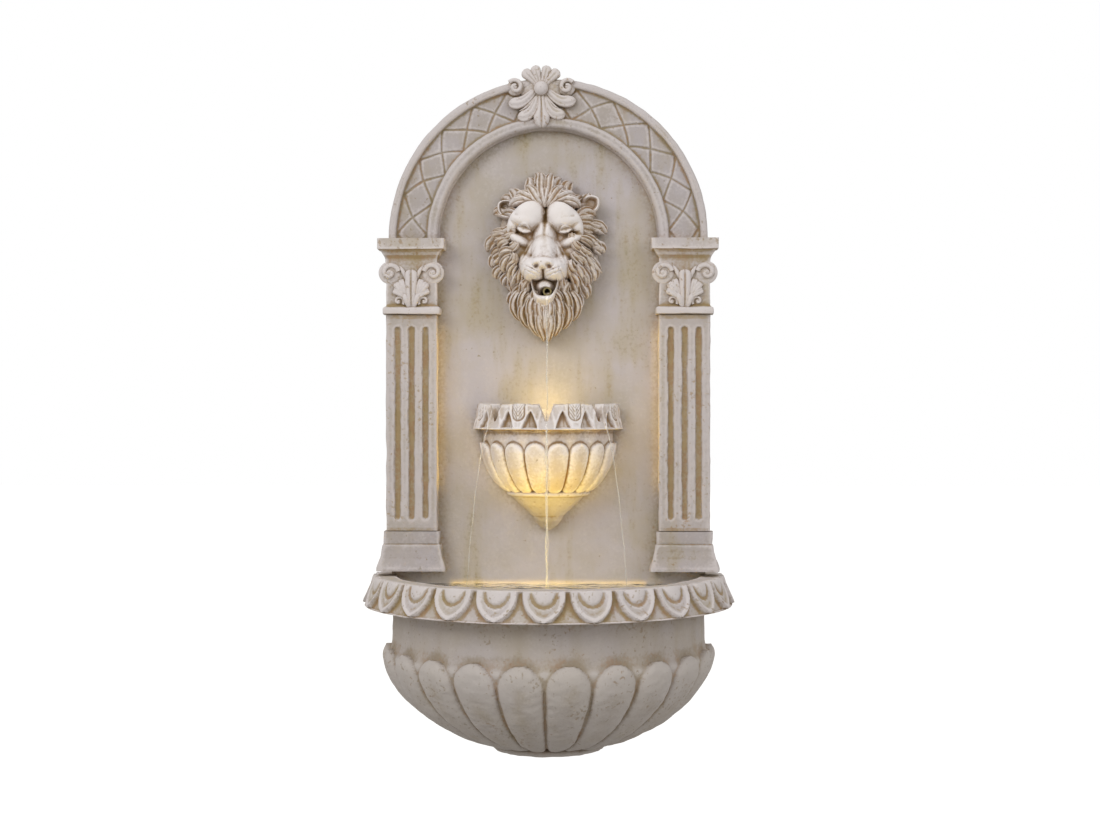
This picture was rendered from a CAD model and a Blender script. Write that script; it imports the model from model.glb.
# %% [markdown]
# # A garden wall fountain in whitewashed cast stone
# The real fountain is a set of castings made in moulds: an arched panel with pilasters, a lion's mask, a
# small bowl and a large basin. Moulded stone has no sharp edge and no truly flat face, and old paint wears
# off what stands proud and stays dirty in what lies deep. This lesson builds each casting as a surface
# worked out with numpy, then measures how hollow each point lies, so that one stone finish can age it.

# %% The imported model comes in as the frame
import math
import bpy
import mathutils
import numpy as np
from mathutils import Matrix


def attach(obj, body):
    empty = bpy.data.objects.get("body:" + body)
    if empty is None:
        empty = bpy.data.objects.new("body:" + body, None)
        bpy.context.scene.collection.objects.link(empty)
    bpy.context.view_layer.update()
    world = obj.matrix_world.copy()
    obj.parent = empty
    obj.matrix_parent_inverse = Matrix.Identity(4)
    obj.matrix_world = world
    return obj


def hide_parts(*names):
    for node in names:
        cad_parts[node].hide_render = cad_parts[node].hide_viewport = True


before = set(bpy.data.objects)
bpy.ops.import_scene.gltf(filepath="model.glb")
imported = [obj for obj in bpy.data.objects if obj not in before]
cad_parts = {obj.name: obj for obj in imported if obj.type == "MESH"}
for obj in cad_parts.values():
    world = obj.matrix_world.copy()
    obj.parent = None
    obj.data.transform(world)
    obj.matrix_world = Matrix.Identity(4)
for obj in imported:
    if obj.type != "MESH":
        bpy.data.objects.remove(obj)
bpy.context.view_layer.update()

# %% [markdown]
# ## From millimetres on the drawing to the frame
# The drawing measures heights from the underside of the basin's foot, in millimetres. The frame is in metres
# and has its origin at the hangers. One function turns the first into the second, so every number below can
# be read off the object with a ruler. The wall is the plane y = 0 and the viewer stands at negative y.

# %% Units and the places that several castings share
METRE = 0.001
HANG_HEIGHT = 640.0
PANEL_FRONT = 34.0
SPRING_HEIGHT = 598.0
PILASTER_OFFSET = 159.0
WALL_GAP = 0.05
FULL_TURN = 2 * math.pi
HANDS = ((-1, "left"), (1, "right"))


def to_frame(points):
    """Metres in the frame: millimetres times 0.001, after the hangers' height is taken off z."""
    return (np.asarray(points, float) - (0.0, 0.0, HANG_HEIGHT)) * METRE


# %% [markdown]
# ## Six small formulas that every casting uses
# Carving is written with a few plain curves: a step that eases in and out, a bell for a groove or a dirty
# patch, the round of a half ellipse for anything that swells, and the way round a ring.

# %% Small formulas
def smooth_step(value, low, high):
    """0 below low, 1 above high, and 3t^2 - 2t^3 between them."""
    share = np.clip((value - low) / (high - low), 0, 1)
    return share * share * (3 - 2 * share)


def bell(share, power=2):
    """1 in the middle and about 0.37 where the share is 1: exp(-share^power)."""
    return np.exp(-share ** power)


def round_over(share, power=2, least=0.0):
    """The round of a half ellipse: sqrt(1 - share^power), never under the root of the least value."""
    return np.sqrt(np.clip(1 - share ** power, least, 1))


def unit(vectors):
    """Vectors divided by their own length."""
    return vectors / np.maximum(np.linalg.norm(vectors, axis=-1, keepdims=True), 1e-9)


def ring_angles(count):
    """One row of even angles all the way round."""
    return np.linspace(0, FULL_TURN, count, endpoint=False)[None, :]


def half_turn(angle):
    """The same direction as an angle of -180 to 180 degrees, in radians."""
    return (angle + math.pi) % FULL_TURN - math.pi


# %% [markdown]
# ## A skin: rows of closed rings
# Every casting here is a stack of closed rings: the rows go along it and the columns go round it. That one
# layout makes bowls, mouldings, petals and locks of hair, and it has no open seam. The ends are closed by a
# fan to their middle. Which way the faces point is read from the sign of the volume they enclose, so no
# piece can come out inside out.

# %% How a stack of rings becomes faces
def ring_faces(rows, columns):
    """Quads between neighbours: corner (r, c) with (r, c+1), (r+1, c+1), (r+1, c), counted round the ring."""
    row = np.arange(rows - 1)[:, None]
    column = np.arange(columns)[None, :]
    start, after, right = row * columns, (row + 1) * columns, (column + 1) % columns
    return np.stack((start + column, start + right, after + right, after + column), -1).reshape(-1, 4)


def end_faces(first, columns, middle):
    """A fan of triangles from a ring, whose first index is given, to the index of its middle."""
    column = np.arange(columns)
    return np.stack((first + column, first + (column + 1) % columns, np.full(columns, middle)), -1)


def enclosed_volume(points, triangles):
    """Sum over triangles of a . (b x c) / 6, which is positive when the faces point outwards."""
    a, b, c = (points[triangles[:, k]] for k in range(3))
    return float(np.einsum("ij,ij->i", a, np.cross(b, c)).sum()) / 6


# %% [markdown]
# ## How hollow each point lies
# Dirt gathers in hollows and paint wears off edges. For a grid of points both can be measured without any
# ray: slide every point towards the mean of its neighbours a few times, and see how far it moved along its
# own normal. A point in a groove moves out, one on an edge moves in. A few slides find fine grooves and many
# slides find broad recesses. The result is stored with the mesh as an attribute that the material reads.

# %% Slides, normals and the hollow attribute
FINE_SLIDES = 6
BROAD_SLIDES = 40
FINE_DEPTH, FINE_SHARE = 0.35, 0.55
BROAD_DEPTH, BROAD_SHARE = 1.6, 0.45
WAVES = 28
WAVE_SPREAD = (0.6, 1.9)
BROAD_WAVE, BROAD_WAVE_SHARE = 46.0, 0.6
SHORT_WAVE, SHORT_WAVE_SHARE = 15.0, 0.4


def slide(points, times):
    """Each point moves to a quarter of both neighbours plus half of itself, along rows, then columns."""
    for _ in range(times):
        ahead, beyond = 2 * points[:1] - points[1:2], 2 * points[-1:] - points[-2:-1]
        padded = np.concatenate((ahead, points, beyond))
        points = points / 2 + (padded[:-2] + padded[2:]) / 4
        points = points / 2 + (np.roll(points, 1, 1) + np.roll(points, -1, 1)) / 4
    return points


def ring_normals(points):
    """Unit cross product of the steps along a ring and along the rows."""
    around = np.roll(points, -1, 1) - np.roll(points, 1, 1)
    return unit(np.cross(around, np.gradient(points, axis=0)))


def wander(points, size, seed):
    """A smooth random value of about -1.5 to 1.5: 28 sine waves of about that size in mm, added up."""
    dice = np.random.default_rng(seed)
    total = np.zeros(points.shape[:-1])
    for _ in range(WAVES):
        heading = dice.normal(size=3)
        heading *= FULL_TURN / (np.linalg.norm(heading) * size * dice.uniform(*WAVE_SPREAD))
        total += np.sin(points @ heading + dice.uniform(0, FULL_TURN))
    return total / (WAVES / 2) ** 0.5


class Skin:
    """A stack of closed rings in drawing millimetres, with outward faces and a hollow value per point.

    uneven is how many millimetres the surface wanders, soak is dirt added everywhere or point by point, and
    back is the depth of a wall that no point may pass.
    """

    def __init__(self, points, uneven=0.35, seed=1, soak=0.0, back=None):
        points = np.asarray(points, float)
        rows, columns = points.shape[:2]
        quads = ring_faces(rows, columns)
        middles = np.stack((points[0].mean(0), points[-1].mean(0)))
        first_fan = end_faces(0, columns, rows * columns)[:, [1, 0, 2]]
        last_fan = end_faces((rows - 1) * columns, columns, rows * columns + 1)
        fans = np.concatenate((first_fan, last_fan))
        halves = np.concatenate((quads[:, [0, 1, 2]], quads[:, [0, 2, 3]], fans))
        normal = ring_normals(points)
        if enclosed_volume(np.concatenate((points.reshape(-1, 3), middles)), halves) < 0:
            quads, fans, normal = quads[:, ::-1], fans[:, ::-1], -normal
        fine = ((slide(points, FINE_SLIDES) - points) * normal).sum(2)
        broad = ((slide(points, BROAD_SLIDES) - points) * normal).sum(2)
        hollow = np.clip(fine / FINE_DEPTH, -1, 1) * FINE_SHARE
        hollow = hollow + np.clip(broad / BROAD_DEPTH, -1, 1) * BROAD_SHARE + soak
        if uneven:
            long_waves = wander(points, BROAD_WAVE, seed) * BROAD_WAVE_SHARE
            short_waves = wander(points, SHORT_WAVE, seed + 50) * SHORT_WAVE_SHARE
            points = points + normal * (uneven * (long_waves + short_waves))[..., None]
        if back is not None:
            points[..., 1] = np.minimum(points[..., 1], -back)
        self.points = np.concatenate((points.reshape(-1, 3), middles))
        self.hollow = np.concatenate((hollow.reshape(-1), np.zeros(len(middles))))
        self.quads, self.fans = quads, fans


# %% [markdown]
# ## A piece: skins joined into one mesh
# A casting may carry several skins, such as a capital's block and its leaves. They go into one mesh through
# foreach_set, which hands over whole arrays at once. The piece then rides on its body, names the CAD nodes
# it stands for and the finish slot it is painted from.

# %% Building a piece
piece_count = 0
CREASE = math.radians(50)


def make_piece(name, skins, material, stands_for=(), body="root"):
    """One mesh from skins: their points end to end, with each skin's face indices moved up to match."""
    global piece_count
    starts = np.cumsum([0] + [len(skin.points) for skin in skins])
    points = to_frame(np.concatenate([skin.points for skin in skins]))
    quads = np.concatenate([skin.quads + start for skin, start in zip(skins, starts)])
    fans = np.concatenate([skin.fans + start for skin, start in zip(skins, starts)])
    mesh = bpy.data.meshes.new(name)
    mesh.vertices.add(len(points))
    mesh.vertices.foreach_set("co", points.astype(np.float32).reshape(-1))
    mesh.loops.add(quads.size + fans.size)
    corners = np.concatenate((quads.reshape(-1), fans.reshape(-1)))
    mesh.loops.foreach_set("vertex_index", corners.astype(np.int32))
    sizes = np.concatenate((np.full(len(quads), 4), np.full(len(fans), 3)))
    mesh.polygons.add(len(sizes))
    mesh.polygons.foreach_set("loop_start", (np.cumsum(sizes) - sizes).astype(np.int32))
    mesh.update(calc_edges=True)
    mesh.validate()
    mesh.shade_smooth()
    mesh.set_sharp_from_angle(angle=CREASE)
    hollow = mesh.attributes.new("hollow", "FLOAT", "POINT")
    hollow.data.foreach_set("value", np.concatenate([skin.hollow for skin in skins]).astype(np.float32))
    mesh.materials.append(material)
    piece = bpy.data.objects.new(name, mesh)
    bpy.context.scene.collection.objects.link(piece)
    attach(piece, body)
    if stands_for:
        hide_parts(*stands_for)
    piece_count += 1
    triangles = 2 * len(quads) + len(fans)
    print(f"{name}: {triangles} triangles, {piece_count} pieces so far")
    return piece


# %% [markdown]
# ## Adding a node
# Every material below is a graph of shader nodes. One small function adds a node, sets its properties and
# fills its inputs: an input given a socket is linked, and one given a number or colour keeps it as its own
# value. The nodes that every finish needs, such as noise, a ramp and a bump, have a short name each. Colours
# are written as the sRGB hex values that a colour picker shows, and one function turns them into the linear
# values that light is counted in.

# %% Colours and nodes
def linear(code):
    """Linear RGBA of an sRGB hex code: c / 12.92 up to 0.04045, else ((c + 0.055) / 1.055)^2.4."""
    shares = [int(code[k:k + 2], 16) / 255 for k in (1, 3, 5)]
    return tuple(c / 12.92 if c <= 0.04045 else ((c + 0.055) / 1.055) ** 2.4 for c in shares) + (1.0,)


FACTOR, COLOUR_A, COLOUR_B, MIXED = 0, 6, 7, 2


def fill(tree, node, inputs):
    """Links every input that is given a socket and sets every one that is given a value."""
    for socket, value in dict(inputs).items():
        if isinstance(value, bpy.types.NodeSocket):
            tree.links.new(value, node.inputs[socket])
        else:
            node.inputs[socket].default_value = value


def add_node(tree, kind, inputs=(), **settings):
    """Adds a node of that kind; settings are its properties, inputs pairs of socket and value or link."""
    node = tree.nodes.new(kind)
    for key, value in settings.items():
        setattr(node, key, value)
    fill(tree, node, inputs)
    return node


def new_material(name):
    """An empty material with its shader and output joined: returns the material, its tree and the shader."""
    material = bpy.data.materials.new(name)
    material.use_nodes = True
    tree = material.node_tree
    tree.nodes.clear()
    shader = add_node(tree, "ShaderNodeBsdfPrincipled")
    add_node(tree, "ShaderNodeOutputMaterial", {"Surface": shader.outputs["BSDF"]})
    return material, tree, shader


def object_place(tree, stretch=(1.0, 1.0, 1.0)):
    """Metres on the object itself, so that a pattern moves with its piece; a small stretch draws it out."""
    place = add_node(tree, "ShaderNodeTexCoord").outputs["Object"]
    return add_node(tree, "ShaderNodeMapping", {"Vector": place, "Scale": stretch}).outputs["Vector"]


def noise(tree, place, patch, detail):
    """A value of 0 to 1 that changes over about that many metres."""
    inputs = {"Vector": place, "Scale": 1 / patch, "Detail": detail}
    return add_node(tree, "ShaderNodeTexNoise", inputs).outputs["Fac"]


def maths(tree, operation, *values):
    """One sum with two or three numbers or sockets; MULTIPLY_ADD is a x b + c."""
    return add_node(tree, "ShaderNodeMath", enumerate(values), operation=operation).outputs[0]


def ramp(tree, value, *stops):
    """The grey or colour that a value has on a ramp; stops are pairs of place and grey or hex colour."""
    node = add_node(tree, "ShaderNodeValToRGB", {"Fac": value})
    while len(node.color_ramp.elements) < len(stops):
        node.color_ramp.elements.new(0.5)
    for element, (place, tint) in zip(node.color_ramp.elements, stops):
        element.position = place
        element.color = linear(tint) if isinstance(tint, str) else (tint, tint, tint, 1.0)
    return node.outputs["Color"]


def lay_over(tree, share, under, over):
    """The over colour where the share is 1, the under colour where it is 0."""
    inputs = {FACTOR: share, COLOUR_A: under, COLOUR_B: over}
    return add_node(tree, "ShaderNodeMix", inputs, data_type="RGBA").outputs[MIXED]


def bump(tree, height, strength, distance, under=None):
    """A surface normal tilted by a height; distance is in metres, and under is a normal to start from."""
    inputs = {"Height": height, "Strength": strength, "Distance": distance}
    if under:
        inputs["Normal"] = under
    return add_node(tree, "ShaderNodeBump", inputs).outputs["Normal"]


# %% [markdown]
# ## Whitewashed cast stone
# The castings are polymer-bound stone: marble dust and resin poured in a mould, brushed with a brown glaze
# that is wiped off again, and then dry-brushed with chalk white. Glaze stays in hollows, chalk sits on
# what stands proud. So the finish starts from a cream ground with mauve-grey clouds about 60 mm wide and
# lets ochre streaks run down. Chalk goes on the edges. Brown glaze with patches of rust goes where the hollow
# attribute and the ambient occlusion say so, and into freckles of dirt 1 to 3 mm wide. Its grain is felt more
# than seen: a bump of 1.5 mm.

# %% The stone finish
CLOUD, STREAK, CROWD, RUST_PATCH = 0.060, 0.022, 0.045, 1 / 42
FRECKLE, SPECKLE, GRAIN, LUMP = 0.0042, 0.0032, 0.0015, 0.009
RUST = "#A27E5C"
RUNS_DOWN = (1.0, 1.0, 0.22)
DIRT_REACH = 0.018
# How far each noise pulls the edge of a layer about
CROWD_PULL, SPECKLE_PULL, STREAK_PULL, RUST_PULL = 0.42, 0.9, 1.1, 0.6
LUMP_BUMP, LUMP_DEPTH = 0.45, 0.0022
GRAIN_BUMP, GRAIN_DEPTH, PIT = 0.3, 0.0006, -1.6


def stone_finish(name, ground, cloud, glaze, chalk, stain, stain_share=0.4, glaze_share=0.9, freckled=0.84,
                 roughness=0.82):
    """Stone: ground and cloud colours mixed by noise, then stains, chalk on edges and glaze in hollows."""
    material, tree, shader = new_material(name)
    place = object_place(tree)
    hollow = add_node(tree, "ShaderNodeAttribute", attribute_name="hollow").outputs["Fac"]
    shelter = add_node(tree, "ShaderNodeAmbientOcclusion", {"Distance": DIRT_REACH}, samples=8).outputs["AO"]
    streaks = noise(tree, object_place(tree, RUNS_DOWN), STREAK, 6.0)
    rough = maths(tree, "SUBTRACT", noise(tree, place, SPECKLE, 3.0), 0.5)
    torn = maths(tree, "MULTIPLY_ADD", rough, SPECKLE_PULL, hollow)
    frayed = maths(tree, "MULTIPLY_ADD", maths(tree, "SUBTRACT", streaks, 0.5), STREAK_PULL, torn)
    sheltered = maths(tree, "MULTIPLY_ADD", rough, -SPECKLE_PULL, shelter)
    rusty = maths(tree, "MULTIPLY_ADD", rough, RUST_PULL, noise(tree, place, RUST_PATCH, 4.0))
    crowded = maths(tree, "MULTIPLY_ADD", noise(tree, place, CROWD, 3.0), CROWD_PULL,
                    noise(tree, place, FRECKLE, 2.0))
    freckles = ramp(tree, crowded, (freckled, 0.0), (freckled + 0.1, 0.6))
    brown = lay_over(tree, ramp(tree, rusty, (0.46, 0.0), (0.64, 0.65)), linear(glaze), linear(RUST))

    colour = linear(ground)
    layers = (
        (ramp(tree, noise(tree, place, CLOUD, 5.0), (0.36, 0.0), (0.64, 1.0)), linear(cloud)),
        (ramp(tree, streaks, (0.52, 0.0), (0.75, stain_share)), linear(stain)),
        (ramp(tree, maths(tree, "MULTIPLY", frayed, -1.0), (0.08, 0.0), (0.6, 0.75)), linear(chalk)),
        (freckles, brown),
        (ramp(tree, sheltered, (0.25, 0.6), (0.8, 0.0)), brown),
        (ramp(tree, frayed, (0.14, 0.0), (0.45, glaze_share * 0.55), (1.0, glaze_share)), brown),
    )
    for share, tint in layers:
        colour = lay_over(tree, share, colour, tint)

    waves = bump(tree, noise(tree, place, LUMP, 3.0), LUMP_BUMP, LUMP_DEPTH)
    pitted = maths(tree, "MULTIPLY_ADD", freckles, PIT, noise(tree, place, GRAIN, 3.0))
    fill(tree, shader, {"Base Color": colour, "Normal": bump(tree, pitted, GRAIN_BUMP, GRAIN_DEPTH, waves),
                        "Roughness": roughness, "Specular IOR Level": 0.3})
    return material


stone = stone_finish("whitewashed_cast_stone", ground="#C0B6AA", cloud="#C6BDBB", glaze="#9A8358",
                     chalk="#E0D8D6", stain="#B5A27A")
shaft_stone = stone_finish("whitewashed_cast_stone_shaft", ground="#B8AEA4", cloud="#BFB6B3", glaze="#A68F66",
                           chalk="#D2C9C6", stain="#B0A078")
arch_stone = stone_finish("whitewashed_cast_stone_arch", ground="#B1A79E", cloud="#B8B0B0", glaze="#8E7E5E",
                          chalk="#D4CCCA", stain="#B0A078", freckled=0.88)
shaded_stone = stone_finish("whitewashed_cast_stone_below", ground="#BAAFA2", cloud="#BCB3AE",
                            glaze="#94836A", chalk="#C8C0BA", stain="#A89A80", stain_share=0.3,
                            glaze_share=0.65)
niche_stone = stone_finish("whitewashed_cast_stone_niche", ground="#BEB4A8", cloud="#C6BEBE", glaze="#8F7F58",
                           chalk="#D2CAC6", stain="#B1A274", stain_share=0.5, freckled=0.93)
mask_stone = stone_finish("whitewashed_cast_stone_mask", ground="#D0C2B4", cloud="#DCD3D0", glaze="#8C7049",
                          chalk="#FAF4F3", stain="#B99E74", glaze_share=0.97, freckled=0.93,
                          roughness=0.5)

# %% [markdown]
# ## Drawing a profile
# A turned casting is drawn as a line of corners, radius first and height second. The line is cut into even
# steps and then slid a little, which rounds each corner by about a step or two, as a mould does. Its outward
# side is on the right of the direction in which it is drawn.

# %% Profiles
def profile(corners, step, soften=2, closed=False):
    """Corners joined by straight runs, cut into even steps, each point then moved toward its neighbours."""
    corners = np.asarray(corners, float)
    if closed:
        corners = np.concatenate((corners, corners[:1]))
    lengths = np.linalg.norm(np.diff(corners, axis=0), axis=1)
    reach = np.concatenate(([0], np.cumsum(lengths)))
    count = max(int(round(reach[-1] / step)), 3)
    places = np.linspace(0, reach[-1], count + 1)
    line = np.stack([np.interp(places, reach, corners[:, k]) for k in (0, 1)], 1)
    if closed:
        line = line[:-1]
    for _ in range(soften):
        before, after = np.roll(line, 1, 0), np.roll(line, -1, 0)
        if not closed:
            before[0], after[-1] = line[0], line[-1]
        line = line / 2 + (before + after) / 4
    return line


def outward(line, closed=False):
    """Unit vector at right angles to the run of the line: (step in height, minus step in radius)."""
    if closed:
        run = np.roll(line, -1, 0) - np.roll(line, 1, 0)
    else:
        run = np.gradient(line, axis=0)
    return unit(np.stack((run[:, 1], -run[:, 0]), 1))


# %% [markdown]
# ## Bowls that are cut flat by a wall
# Both bowls are turned shapes whose back lies flat on the wall or on the niche. Each ring is therefore a D:
# an arc about the bowl's axis, and a straight back. The arc runs past a half circle by arcsin(distance from
# axis to wall / radius) on each side, so the wall cuts it at every height where it really would. Carving is a
# height added along the profile's outward side; its formula reads the angle and the height.

# %% D-shaped bowls and open collars
def bowl_skin(line, carve, axis, back, arc, backs, ceiling=None, bottom=None, **kwargs):
    """Rows along the profile, columns round a D: x = r sin a, y = -axis - r cos a, |a| up to 90 + arcsin."""
    radius, height = line[:, 0:1], line[:, 1:2]
    back = np.broadcast_to(np.reshape(back, (-1, 1)), radius.shape)
    side = outward(line)
    over = np.arcsin(np.clip((axis - back) / np.maximum(radius, 1e-6), -1, 1))
    angle = np.linspace(-1, 1, arc)[None, :] * (math.pi / 2 + over)
    rise = carve(angle, radius, height)
    r = radius + side[:, 0:1] * rise
    z = height + side[:, 1:2] * rise
    if ceiling is not None:
        z = np.minimum(z, ceiling(angle))
    x, y = r * np.sin(angle), np.minimum(-axis - r * np.cos(angle), -back)
    share = np.linspace(0, 1, backs + 2)[None, 1:-1]
    back_x = x[:, -1:] * (1 - share) + x[:, :1] * share
    back_z = z[:, -1:] * (1 - share) + z[:, :1] * share
    flat = np.stack((back_x, back_x * 0 - back, back_z), -1)
    skin = Skin(np.concatenate((np.stack((x, y, z), -1), flat), 1), back=back, **kwargs)
    if bottom is not None:
        skin.points[:, 2] = np.maximum(skin.points[:, 2], bottom)
    return skin


def collar_skin(line, carve, axis, back, arc):
    """Rows round the arc, columns round a closed section; each column stops where the wall cuts it."""
    radius, height = line[None, :, 0], line[None, :, 1]
    side = outward(line, closed=True)
    over = np.arcsin(np.clip((axis - back) / radius, -1, 1))
    angle = np.linspace(-1, 1, arc)[:, None] * (math.pi / 2 + over)
    rise = carve(angle, height, side)
    r, z = radius + side[None, :, 0] * rise, height + side[None, :, 1] * rise
    return np.stack((r * np.sin(angle), np.minimum(-axis - r * np.cos(angle), -back), z), -1)


LOBE_HALF_WIDTH = 0.475
LOBE_FOOT, FOOT_REACH = 0.12, 0.22


def lobes(angle, share, count, bulge, head_start, head_reach):
    """Gadroons: each cell's lobe is bulge x sqrt(1 - (|across| / half width)^3), with an elliptical head."""
    across = (angle * count / FULL_TURN) % 1 - 0.5
    head = np.clip((share - head_start) / head_reach, 0, 1)
    foot = np.clip((LOBE_FOOT - share) / FOOT_REACH, 0, 1)
    half = LOBE_HALF_WIDTH * np.sqrt(np.clip((1 - head ** 2.4) * (1 - foot ** 2), 1e-6, 1))
    carved = (share > LOBE_FOOT - FOOT_REACH) & (share < head_start + head_reach)
    return bulge * round_over(np.abs(across) / half, 3) * carved


# %% [markdown]
# ## The lower basin
# The basin holds about eight litres and stands on a small foot ring. Its belly is a full quarter curve with
# 22 gadroons to the full circle, a groove at the very front, round heads under the neck and feet that run in
# to the foot ring. A lobe is flat in front and round at its sides, so its formula uses the cube of the
# distance across it. The mould for the inside is plain.

# %% The lower basin
BASIN_AXIS = 28.0
BASIN_FOOT, BELLY_TOP = 9.0, 113.0
BASIN_LOBES, BASIN_BULGE, BASIN_WIDEST = 22, 7.0, 191.0
BELLY_POWER = 1.62


def belly(low, high, bottom, top, stations=24):
    """Points of a belly: radius = low + (high - low) (1 - (1 - s)^1.62)^(1/1.62) at a share s of height."""
    share = np.linspace(0, 1, stations)
    radius = low + (high - low) * (1 - (1 - share) ** BELLY_POWER) ** (1 / BELLY_POWER)
    return np.stack((radius, bottom + (top - bottom) * share), 1).tolist()


def basin_carving(angle, radius, height):
    """Gadroons on the belly's outside only, lower where the belly is narrow."""
    share = (height - BASIN_FOOT) / (BELLY_TOP - BASIN_FOOT)
    bulge = BASIN_BULGE * (0.3 + 0.7 * radius / BASIN_WIDEST)
    return lobes(angle, share, BASIN_LOBES, bulge, head_start=0.78, head_reach=0.3) * (share > 0.012)


foot_ring = [(0.4, 0.2), (65, 0.2), (66.5, 3), (65.6, 7), (59, 9)]
neck = [(185.6, 119), (183.4, 128), (182.8, 140), (182.6, 160), (183.2, 168), (184.9, 171.4), (186, 191.8)]
outside = profile(foot_ring + belly(53, 189, BASIN_FOOT, BELLY_TOP)[1:] + neck, 1.9)
inside = profile([(176.5, 191.8), (176.3, 113)] + belly(88, 176.3, 22, BELLY_TOP)[::-1][1:]
                 + [(0.4, 22)], 4.0)
basin_back = np.concatenate((np.full(len(outside), WALL_GAP), np.full(len(inside), 10.0)))
basin_skin = bowl_skin(np.concatenate((outside, inside)), basin_carving, BASIN_AXIS, basin_back, arc=400,
                       backs=12, seed=3, uneven=0.5, soak=-0.08, bottom=0.0)
make_piece("basin_casting", [basin_skin], shaded_stone, ["lower_basin"])

# %% [markdown]
# ## The basin's rim
# The rim is a collar cast on its own and glued over the basin's neck. Its sloping face has a row of eggs in
# shells, 25 to the full circle and one at the very front, 53 mm apart. Each shell hangs from the top edge and
# narrows downwards to a blunt end: its edge is where the share of its width to the power 1.55 and the share
# of its depth to the power 2.3 add up to 1. The egg inside is an ellipse that is cut by the top edge.

# %% The egg moulding
RIM_TOP, RIM_BOTTOM = 204.8, 170.7
SLOPE = 1.09
EGG_PITCH, EGG_MIDDLE = FULL_TURN / 25, 212.0
EGG_HALF_WIDTH, EGG_DEPTH, EGG_RISE = 14.6, 17.0, 6.4
SHELL, SHELL_DEPTH = 24.6, 36.5
SHELL_RISE, SHELL_EDGE = 3.8, 2.2
GROOVE_FLOOR, GROUND = 2.8, 3.4


def egg_moulding(angle, height, side):
    """A dome 29 mm wide and 17 deep, a shallow groove round it, then the shell out to where outer is 1."""
    across = ((angle / EGG_PITCH + 0.5) % 1 - 0.5) * EGG_PITCH * EGG_MIDDLE
    down = (RIM_TOP - height) * SLOPE
    inner = np.hypot(across / EGG_HALF_WIDTH, np.maximum(down - 1.5, 0) / EGG_DEPTH)
    outer = (np.abs(across) / SHELL) ** 1.55 + (np.maximum(down, 0) / SHELL_DEPTH) ** 2.3
    egg = EGG_RISE * round_over(inner, 2.2)
    shell = smooth_step(inner, 1.02, 1.14) * (SHELL_RISE + SHELL_EDGE * smooth_step(outer, 0.45, 0.9))
    rise = np.maximum(egg + shell, GROOVE_FLOOR) * (1 - smooth_step(outer, 0.92, 1.04))
    face = smooth_step(side[None, :, 0], 0.6, 0.85) * smooth_step(down, -1.5, 1.0)
    return (rise - GROUND) * face


rim_section = profile([(204, RIM_BOTTOM), (217, RIM_BOTTOM), (202.5, RIM_TOP), (178.5, RIM_TOP),
                       (178.2, 192.4), (187, 192.2), (186.6, 180), (186.6, RIM_BOTTOM)], 1.35, closed=True)
rim_points = collar_skin(rim_section, egg_moulding, BASIN_AXIS, WALL_GAP, arc=560)
# Where the panel stands between the collar's two ends, each end keeps 185 mm from the middle
SEAT_DEPTH, SEAT_HALF_WIDTH, SEAT_LEVEL = 34.4, 185, 191
rim_x, rim_y, rim_z = np.moveaxis(rim_points, -1, 0)
in_seat = (rim_y > -SEAT_DEPTH) & (np.abs(rim_x) < SEAT_HALF_WIDTH) & (rim_z > SEAT_LEVEL)
rim_points[..., 0] = np.where(in_seat, np.sign(rim_x) * SEAT_HALF_WIDTH, rim_x)
make_piece("rim_casting", [Skin(rim_points, seed=7, uneven=0.3, back=WALL_GAP)], stone, ["basin_rim"])

# %% [markdown]
# ## The upper bowl
# The small bowl takes the water from the mouth and lets it run over through notches in its rim. Between the
# notches the rim is carved as leaves: a ridge down to every notch, and a veined leaf on the tongue between
# two sunk triangles. The bowl's mould is the basin's idea again at a smaller scale, with 18 gadroons.

# %% The upper bowl
BOWL_AXIS, NICHE_GAP = 40.0, 34.1
BOWL_TOP, BOWL_BOTTOM, BOWL_BELLY_TOP = 406.0, 304.6, 357.0
BOWL_LOBES, BOWL_BULGE, BOWL_WIDEST = 18, 5.0, 75.0
RIM_RADIUS = 86.0
NOTCH_PITCH, NOTCH_DEPTH = FULL_TURN / 8, 21.0
TRIANGLE_PLACE, TRIANGLE_DEPTH, TRIANGLE_HALF_WIDTH = 19.3, 4.8, 8.6
TONGUE_HALF_WIDTH, TONGUE_SWELL = 12.5, 1.6
LEAF_TOP, LEAF_RADIUS, BORDER_DEPTH = 12.0, 7.6, 1.6
VEIN_DEPTH, MIDRIB_RISE, MIDRIB_HALF_WIDTH = 0.9, 0.9, 0.9
RIDGE_PLACE, RIDGE_SPREAD, RIDGE_RISE, RIDGE_HALF_WIDTH = 3.0, 0.32, 1.1, 2.6
RIM_SINK = 1.2


def off_notch(angle):
    """Millimetres along the rim to the nearest notch."""
    return np.abs((angle / NOTCH_PITCH + 0.5) % 1 - 0.5) * NOTCH_PITCH * RIM_RADIUS


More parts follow.
